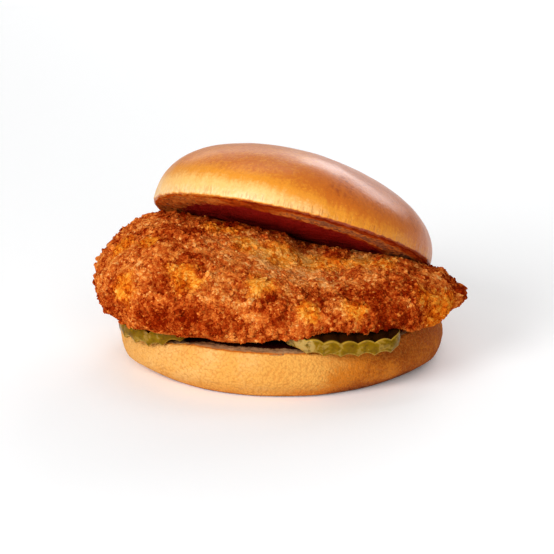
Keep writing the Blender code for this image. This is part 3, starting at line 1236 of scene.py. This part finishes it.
GOLDEN_SPOTS = (
    Spot(-51, -16, 40, 7), Spot(-42, -21, 44, 6), Spot(-30, -40, 38, 10), Spot(-19, -8, 43, 11),
    Spot(-11, -20, 41, 8), Spot(-1, -20, 38, 11), Spot(-50, -34, 32, 8), Spot(-6, -42, 35, 8),
    Spot(4, -17, 37, 11), Spot(13, -16, 35, 12), Spot(24, -17, 35, 11), Spot(34, -18, 35, 9),
    Spot(8, -47, 29, 6), Spot(23, -43, 29, 7), Spot(44, -31, 29, 6), Spot(51, -28, 22, 11),
)
BROWN_SPOTS = (
    Spot(-35, -15, 45, 8), Spot(-29, -17, 45, 7), Spot(-6, -13, 40, 6), Spot(-19, -13, 42, 4),
    Spot(-38, -41, 35, 7), Spot(-28, -33, 42, 6), Spot(-3, -47, 31, 8), Spot(-19, -48, 26, 9),
    Spot(-25, -39, 39, 4), Spot(38, -32, 32, 9), Spot(22, -25, 34, 8), Spot(24, -37, 31, 9),
    Spot(10, -40, 32, 7), Spot(-1, -49, 29, 8), Spot(34, -41, 26, 10), Spot(40, -19, 34, 8),
    Spot(57, -13, 26, 9), Spot(45, -38, 24, 6), Spot(-54, 6, 37, 8), Spot(-41, -43, 26, 8),
    Spot(17, -7, 37, 7), Spot(-28, -47, 27, 8), Spot(29, -36, 30, 8),
    # These four sit just under the crown's rim: painted shade of the gap there.
    Spot(-16, -4, 43, 6), Spot(-7, -3, 43, 6), Spot(1, -3, 42, 6), Spot(8, -2, 39, 6),
)


@dataclass
class Filet(Piece):
    """Breaded chicken filet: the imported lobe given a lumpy, crusted surface."""

    voxel: float = 0.52 * MM
    crown_reach: float = 46.0 * MM

    def smooth_lobe(self) -> bpy.types.Mesh:
        """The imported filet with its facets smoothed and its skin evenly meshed."""
        body = bmesh.new()
        body.from_mesh(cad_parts["chicken_filet"].data)
        bmesh.ops.remove_doubles(body, verts=body.verts, dist=0.01 * MM)
        lobe = bpy.data.objects.new("lobe", self.as_mesh(body))
        bpy.context.scene.collection.objects.link(lobe)
        rounding = lobe.modifiers.new("rounding", "SUBSURF")
        rounding.levels = 1
        rounding.render_levels = 1
        skin = lobe.modifiers.new("skin", "REMESH")
        skin.mode = "VOXEL"
        skin.voxel_size = self.voxel
        made = finished_mesh(lobe)
        bpy.data.objects.remove(lobe, do_unlink=True)
        return made

    def mesh(self) -> bpy.types.Mesh:
        """Raise lumps, clumps and grains on the lobe and paint how it fried, with painted light and
        shade.
        """
        body = bmesh.new()
        body.from_mesh(self.smooth_lobe())
        for _ in range(2):
            bmesh.ops.smooth_vert(
                body, verts=body.verts, factor=0.5, use_axis_x=True, use_axis_y=True, use_axis_z=True
            )
        for vertex in body.verts:
            vertex.co += sum((push.move(vertex.co) for push in PUSHES), Vector())
        body.normal_update()
        marks = Marks(body, Mark.BAKE, Mark.GOLD, Mark.PIT, Mark.BARE, Mark.FLAKY, Mark.TONE)
        crown_inverse = Crown("crown", Slot.CROWN).place().inverted()
        for vertex, normal in [(v, v.normal.copy()) for v in body.verts]:
            self.crust(vertex, normal, crown_inverse, marks)
        return self.as_mesh(body)

    def crust(
        self, vertex: bmesh.types.BMVert, normal: Vector, crown_inverse: Matrix, marks: Marks
    ) -> None:
        """Move and paint one vertex of the breading.

        Args:
            vertex: The point to move.
            normal: Outward direction there.
            crown_inverse: From the burger's frame to the crown's own.
            marks: Painted values of the filet.
        """
        place = vertex.co.copy()
        ragged = 1.0 + 0.4 * swell(place, 3.0 * MM, 1.3)
        gold = max(spot.share(place, ragged) for spot in GOLDEN_SPOTS)
        # Red-brown patches, with painted shade just under the crown.
        brown = max(spot.share(place, ragged) for spot in BROWN_SPOTS)
        fold, below = self.fold(place)
        brown = max(brown, fold)
        gold *= 1.0 - 0.8 * brown
        cluster = ease((swell(place, 4.5 * MM, 5.3) + 0.25) / 0.5)
        rough = 0.5 + 0.75 * cluster + 0.4 * brown - 0.15 * gold
        lumps = 0.9 * swell(place, 5.5 * MM, 2.2) + 1.3 * fold - 1.0 * below
        high = ease((place.z - 33.0 * MM) / (3.0 * MM)) * ease((place.x + 20.0 * MM) / (10.0 * MM))
        clumps = cobble(place, 3.2 * MM, 7.1) - 0.6
        grains = cobble(place, 1.7 * MM, 9.6) - 0.55
        local = crown_inverse @ place
        within = math.hypot(local.x, local.y) < self.crown_reach
        under_crown = within and local.z > -1.5 * MM
        on_heel = normal.z < -0.75
        free = 0.25 if under_crown or on_heel else 1.0
        height = lumps + rough * (0.8 * clumps + 0.5 * grains)
        vertex.co += normal * (free * height * MM)
        cloud = swell(place, 9.0 * MM, 12.3)
        # Painted shade in the hollows between clumps and grains, and in the crease under the fold.
        pit = ease((0.25 - 0.5 * clumps - 0.9 * grains) / 1.1)
        # Painted shade under the crown: how close the crown is above.
        near = ease((local.z + 7.0 * MM) / (5.0 * MM)) if within else 0.0
        deep = self.deeper(place, below, near)
        marks.paint(
            vertex,
            bake=0.28 + 0.30 * brown + 0.16 * cluster + 0.17 * cloud + deep,
            gold=gold,
            pit=max(0.8 * pit * min(rough, 1.0), 0.5 * below),
            bare=0.0 if under_crown or on_heel else self.bare(cluster, brown, gold, high),
            flaky=0.0 if on_heel else self.flaky(place),
        )

    @staticmethod
    def deeper(place: Vector, below: float, near: float) -> float:
        """Shift of the bake value that paints light and shade on the breading.

        Args:
            place: The point on the filet.
            below: Share of the crease under the fold.
            near: How close the crown is above, from 0 to 1.

        Returns:
            The shift of the bake value.
        """
        thick_end = 1.0 - ease((place.x - 10.0 * MM) / (12.0 * MM))
        ridge = ease((place.x + 14.0 * MM) / (8.0 * MM)) * ease((place.z - 30.5 * MM) / (4.5 * MM))
        low = ease((31.0 * MM - place.z) / (8.0 * MM))
        left = ease((-22.0 * MM - place.x) / (8.0 * MM))
        middle = ease((place.x + 24.0 * MM) / (10.0 * MM))
        right = ease((place.x - 14.0 * MM) / (14.0 * MM))
        # Painted light and shade: darker in the crease under the fold, under the crown at the thick
        # end, low down and to the left; paler along the top ridge; a little darker in the middle and to
        # the right.
        shaded = 0.3 * below + 0.28 * near * thick_end
        return shaded - 0.16 * ridge + 0.14 * low + 0.08 * left + 0.04 * middle + 0.05 * right

    @staticmethod
    def bare(cluster: float, brown: float, gold: float, high: float) -> float:
        """How thickly crumbs sit on the breading: thinnest along its golden top."""
        thick = min(1.0, 0.3 + 0.7 * cluster + 0.3 * brown - 0.25 * gold)
        return thick * (1.0 - 0.55 * high)

    @staticmethod
    def fold(place: Vector) -> tuple[float, float]:
        """Share of the folded crest near the thick end, and of the crease under it."""
        near = min(math.dist(place, Vector(point) * MM) for point in FOLD)
        if near > 8.0 * MM:
            return 0.0, 0.0
        crest = 0.0
        crease = 0.0
        for start, end in zip(FOLD, FOLD[1:]):
            along = Vector(end) - Vector(start)
            share = min(max((place / MM - Vector(start)).dot(along) / along.length_squared, 0.0), 1.0)
            away = place / MM - (Vector(start) + along * share)
            crest = max(crest, 1.0 - ease(away.length / 2.4))
            crease = max(crease, 1.0 - ease((away - Vector((0.6, -3.0, -0.6))).length / 2.2))
        return crest, crease

    @staticmethod
    def flaky(place: Vector) -> float:
        """Where ragged flakes stand up: along the top of the thin end, and at the thick end."""
        tip = ease((place.x - 42.0 * MM) / (5.0 * MM)) * ease((place.z - 23.0 * MM) / (2.0 * MM))
        thick = ease((-28.0 * MM - place.x) / (6.0 * MM)) * ease((place.z - 43.0 * MM) / (2.0 * MM))
        return max(tip, 0.4 * thick, 0.04)

    def finishes(self) -> tuple[Finish, ...]:
        """Fried breading all over."""
        return (FRIED_BREADING,)


@dataclass
class Crumbs(Piece):
    """Crumbs of one kind fried onto the filet, joined into one mesh."""

    smooth: bool = False
    where: Mark = Mark.BARE
    ground: str = ""
    spacing: float = 1.0 * MM
    smallest: float = 0.3 * MM
    largest: float = 0.7 * MM
    flatness: float = 0.7
    jag: float = 0.25
    sunk: float = 0.25
    refine: int = 1
    # How far each crumb's tone is lifted: far on the glint grains, as painted highlights, and below
    # zero on the darker brown grains.
    lighter: float = 0.0
    seed: int = 1
    shapes: int = 5

    def crumb_shape(self, number: int) -> bpy.types.Object:
        """One irregular crumb of unit size, kept out of the scene."""
        body = bmesh.new()
        bmesh.ops.create_icosphere(body, subdivisions=self.refine, radius=1.0)
        offset = Vector((7.3 * number + self.seed, 3.1 * self.seed, 1.9 * number))
        for vertex in body.verts:
            push = 1.0 + self.jag * 2.0 * noise.noise(vertex.co * 1.3 + offset)
            vertex.co *= push
            vertex.co.z *= self.flatness
            vertex.co.x *= 1.0 + 0.35 * noise.noise(offset)
        return bpy.data.objects.new(f"{self.name}_shape_{number}", self.as_mesh(body))

    def mesh(self) -> bpy.types.Mesh:
        """Scatter the crumb shapes over the ground mesh and join them."""
        shapes = [self.crumb_shape(number) for number in range(self.shapes)]
        holder = bpy.data.objects.new("crumb_holder", bpy.data.objects[self.ground].data.copy())
        bpy.context.scene.collection.objects.link(holder)
        modifier = holder.modifiers.new("scatter", "NODES")
        tree = self.scatter_tree(shapes)
        modifier.node_group = tree
        made = finished_mesh(holder)
        bpy.data.objects.remove(holder, do_unlink=True)
        bpy.data.node_groups.remove(tree)
        for shape in shapes:
            bpy.data.objects.remove(shape, do_unlink=True)
        return made

    def scatter_tree(self, shapes: list[bpy.types.Object]) -> bpy.types.NodeTree:
        """Nodes that set a crumb on each of many evenly spaced points.

        Args:
            shapes: The crumb shapes to choose from.

        Returns:
            The geometry node tree.
        """
        tree = bpy.data.node_groups.new(f"{self.name}_scatter", "GeometryNodeTree")
        tree.interface.new_socket("Geometry", in_out="INPUT", socket_type="NodeSocketGeometry")
        tree.interface.new_socket("Geometry", in_out="OUTPUT", socket_type="NodeSocketGeometry")
        wiring = Wiring(tree)
        ground = wiring.add("NodeGroupInput").outputs[0]
        where = {"Name": self.where.value}
        share = wiring.add("GeometryNodeInputNamedAttribute", where, data_type="FLOAT")
        feeds = {
            "Mesh": ground,
            "Distance Min": self.spacing,
            "Density Max": 4.0 / self.spacing**2,
            "Density Factor": share.outputs[0],
            "Seed": self.seed,
        }
        points = wiring.add("GeometryNodeDistributePointsOnFaces", feeds, distribute_method="POISSON")
        sink = wiring.add("ShaderNodeVectorMath", {0: points.outputs["Normal"]}, operation="SCALE")
        sink.inputs["Scale"].default_value = -self.sunk * self.smallest
        sunk = wiring.add(
            "GeometryNodeSetPosition", {"Geometry": points.outputs["Points"], "Offset": sink.outputs[0]}
        )
        choice = wiring.add("GeometryNodeJoinGeometry")
        for shape in shapes:
            info = wiring.add("GeometryNodeObjectInfo", {"Object": shape, "As Instance": True})
            tree.links.new(info.outputs["Geometry"], choice.inputs[0])
        chance = wiring.add("FunctionNodeRandomValue", {"Seed": self.seed + 1}, data_type="FLOAT")
        chance_cubed = wiring.maths("POWER", chance.outputs[1], 2.2)
        size_feeds = {"Value": chance_cubed, "To Min": self.smallest, "To Max": self.largest}
        size = wiring.add("ShaderNodeMapRange", size_feeds).outputs[0]
        sit = wiring.add(
            "GeometryNodeInstanceOnPoints",
            {
                "Points": sunk.outputs[0],
                "Instance": choice.outputs[0],
                "Pick Instance": True,
                "Rotation": points.outputs["Rotation"],
                "Scale": size,
            },
        )
        turn = wiring.add("FunctionNodeRandomValue", {"Seed": self.seed + 2}, data_type="FLOAT_VECTOR")
        turn.inputs["Min"].default_value = (-0.5, -0.5, -math.pi)
        turn.inputs["Max"].default_value = (0.5, 0.5, math.pi)
        turned_round = wiring.add("GeometryNodeRotateInstances", {"Instances": sit.outputs[0]})
        tree.links.new(turn.outputs[0], turned_round.inputs["Rotation"])
        tone = wiring.add("FunctionNodeRandomValue", {"Seed": self.seed + 3}, data_type="FLOAT")
        # Crumb tone, lifted pale on the glint grains as painted highlights.
        shade = wiring.minus(tone.outputs[1], 0.5 + self.lighter)
        keep = {"Geometry": turned_round.outputs[0], "Name": Mark.TONE.value}
        kept = wiring.add("GeometryNodeStoreNamedAttribute", keep, data_type="FLOAT", domain="INSTANCE")
        tree.links.new(shade, kept.inputs["Value"])
        solid = wiring.add("GeometryNodeRealizeInstances", {"Geometry": kept.outputs[0]})
        wiring.add("NodeGroupOutput", {0: solid.outputs[0]})
        return tree

    def finishes(self) -> tuple[Finish, ...]:
        """Fried breading, as on the filet."""
        return (FRIED_BREADING,)


# --------------------------------------------------------------------------
# Studio
# --------------------------------------------------------------------------


@dataclass(frozen=True)
class Lamp:
    """A soft box, by where it stands and how wide it is."""

    name: str
    bearing: float
    elevation: float
    distance: float
    width: float
    height: float
    power: float

    def place(self, aim: Vector) -> None:
        """Stand the lamp facing a point.

        Args:
            aim: The lit point.
        """
        data = bpy.data.lights.new(self.name, "AREA")
        data.shape = "RECTANGLE"
        data.size = self.width
        data.size_y = self.height
        data.energy = self.power
        turn, lift = math.radians(self.bearing), math.radians(self.elevation)
        level = math.cos(lift)
        back = Vector((math.sin(turn) * level, -math.cos(turn) * level, math.sin(lift)))
        lamp = bpy.data.objects.new(self.name, data)
        lamp.location = aim + back * self.distance
        lamp.rotation_euler = (-back).to_track_quat("-Z", "Y").to_euler()
        bpy.context.scene.collection.objects.link(lamp)


@dataclass
class Studio:
    """Pale floor, soft light, and a camera a little above the burger."""

    aim: tuple[float, float, float] = (-1.46 * MM, 0.0, 24.7 * MM)
    distance: float = 1.0
    elevation: float = math.radians(18.0)
    framed_width: float = 0.18
    floor_side: float = 6.0
    ambient: float = 0.28
    lamps: tuple[Lamp, ...] = (
        Lamp("key", -39.0, 28.0, 1.1, 0.5, 0.5, 8.6),
        Lamp("front", 4.0, 30.0, 1.1, 0.6, 0.4, 3.3),
        Lamp("back_right", 150.0, 24.0, 1.0, 0.7, 0.3, 3.4),
        Lamp("back_left", -176.0, 22.0, 1.0, 0.8, 0.26, 1.0),
        Lamp("top", -160.0, 66.0, 1.1, 0.7, 0.4, 1.4),
    )

    def build(self, wardrobe: Wardrobe) -> None:
        """Set the floor, the lights, the world and the camera."""
        self.floor(wardrobe)
        for lamp in self.lamps:
            lamp.place(Vector(self.aim))
        world = bpy.data.worlds.new("studio_air")
        world.use_nodes = True
        world.node_tree.nodes["Background"].inputs["Color"].default_value = (1.0, 1.0, 1.0, 1.0)
        world.node_tree.nodes["Background"].inputs["Strength"].default_value = self.ambient
        bpy.context.scene.world = world
        bpy.context.scene.view_settings.view_transform = "Standard"
        self.camera()

    def floor(self, wardrobe: Wardrobe) -> None:
        """Lay the floor, which isn't part of the burger."""
        body = bmesh.new()
        bmesh.ops.create_grid(body, x_segments=2, y_segments=2, size=0.5 * self.floor_side)
        made = bpy.data.meshes.new("studio_floor")
        body.to_mesh(made)
        body.free()
        made.materials.append(wardrobe.material(STUDIO_FLOOR))
        floor = bpy.data.objects.new("studio_floor", made)
        bpy.context.scene.collection.objects.link(floor)

    def camera(self) -> None:
        """Aim a long lens at the burger from the front."""
        data = bpy.data.cameras.new("camera")
        data.sensor_width = 36.0
        data.lens = data.sensor_width * self.distance / self.framed_width
        data.clip_start = 0.01
        camera = bpy.data.objects.new("camera", data)
        back = Vector((0.0, -math.cos(self.elevation), math.sin(self.elevation)))
        camera.location = Vector(self.aim) + back * self.distance
        camera.rotation_euler = (0.5 * math.pi - self.elevation, 0.0, 0.0)
        bpy.context.scene.collection.objects.link(camera)
        bpy.context.scene.camera = camera


def main() -> None:
    """Build the studio and every piece."""
    logging.basicConfig(level=logging.INFO, format="%(name)s %(message)s")
    wardrobe = Wardrobe()
    Studio().build(wardrobe)
    parts: list[Piece] = [
        Heel("heel_bread", Slot.HEEL, ("bun_heel",)),
        PickleChip("pickle_slice_left", Slot.PICKLE, ("pickle_left",), spot=LEFT_CHIP,
                   juice_radius=48.0 * MM, droop=85.0, droop_width=5.9 * MM, wave=0.7 * MM),
        PickleChip("pickle_slice_right", Slot.PICKLE, ("pickle_right",), spot=RIGHT_CHIP,
                   pale_end=0.9, squareness=4.0, phase=0.6 * MM),
        Filet("breaded_filet", Slot.BREADING, ("chicken_filet",)),
        # Pale grains that stand in for glints: painted highlights.
        Crumbs("pale_grains", Slot.BREADING, ground="breaded_filet", spacing=0.95 * MM,
               smallest=0.28 * MM, largest=0.72 * MM, refine=1, seed=11, jag=0.55, lighter=0.24),
        Crumbs("brown_grains", Slot.BREADING, ground="breaded_filet", spacing=0.95 * MM,
               smallest=0.35 * MM, largest=0.9 * MM, refine=1, seed=31, jag=0.55, lighter=-0.08),
        Crumbs("breading_crumbs", Slot.BREADING, ground="breaded_filet", spacing=2.0 * MM,
               smallest=0.6 * MM, largest=1.4 * MM, refine=2, seed=23, flatness=0.6, jag=0.5),
        Crumbs("breading_flakes", Slot.BREADING, where=Mark.FLAKY, ground="breaded_filet",
               spacing=1.8 * MM, smallest=0.8 * MM, largest=1.7 * MM, refine=2, seed=47,
               flatness=0.35, jag=0.6, sunk=0.1),
        Crown("crown_bread", Slot.CROWN, ("bun_crown",)),
    ]
    for part in parts:
        part.build(wardrobe)


if __name__ == "__main__":
    main()
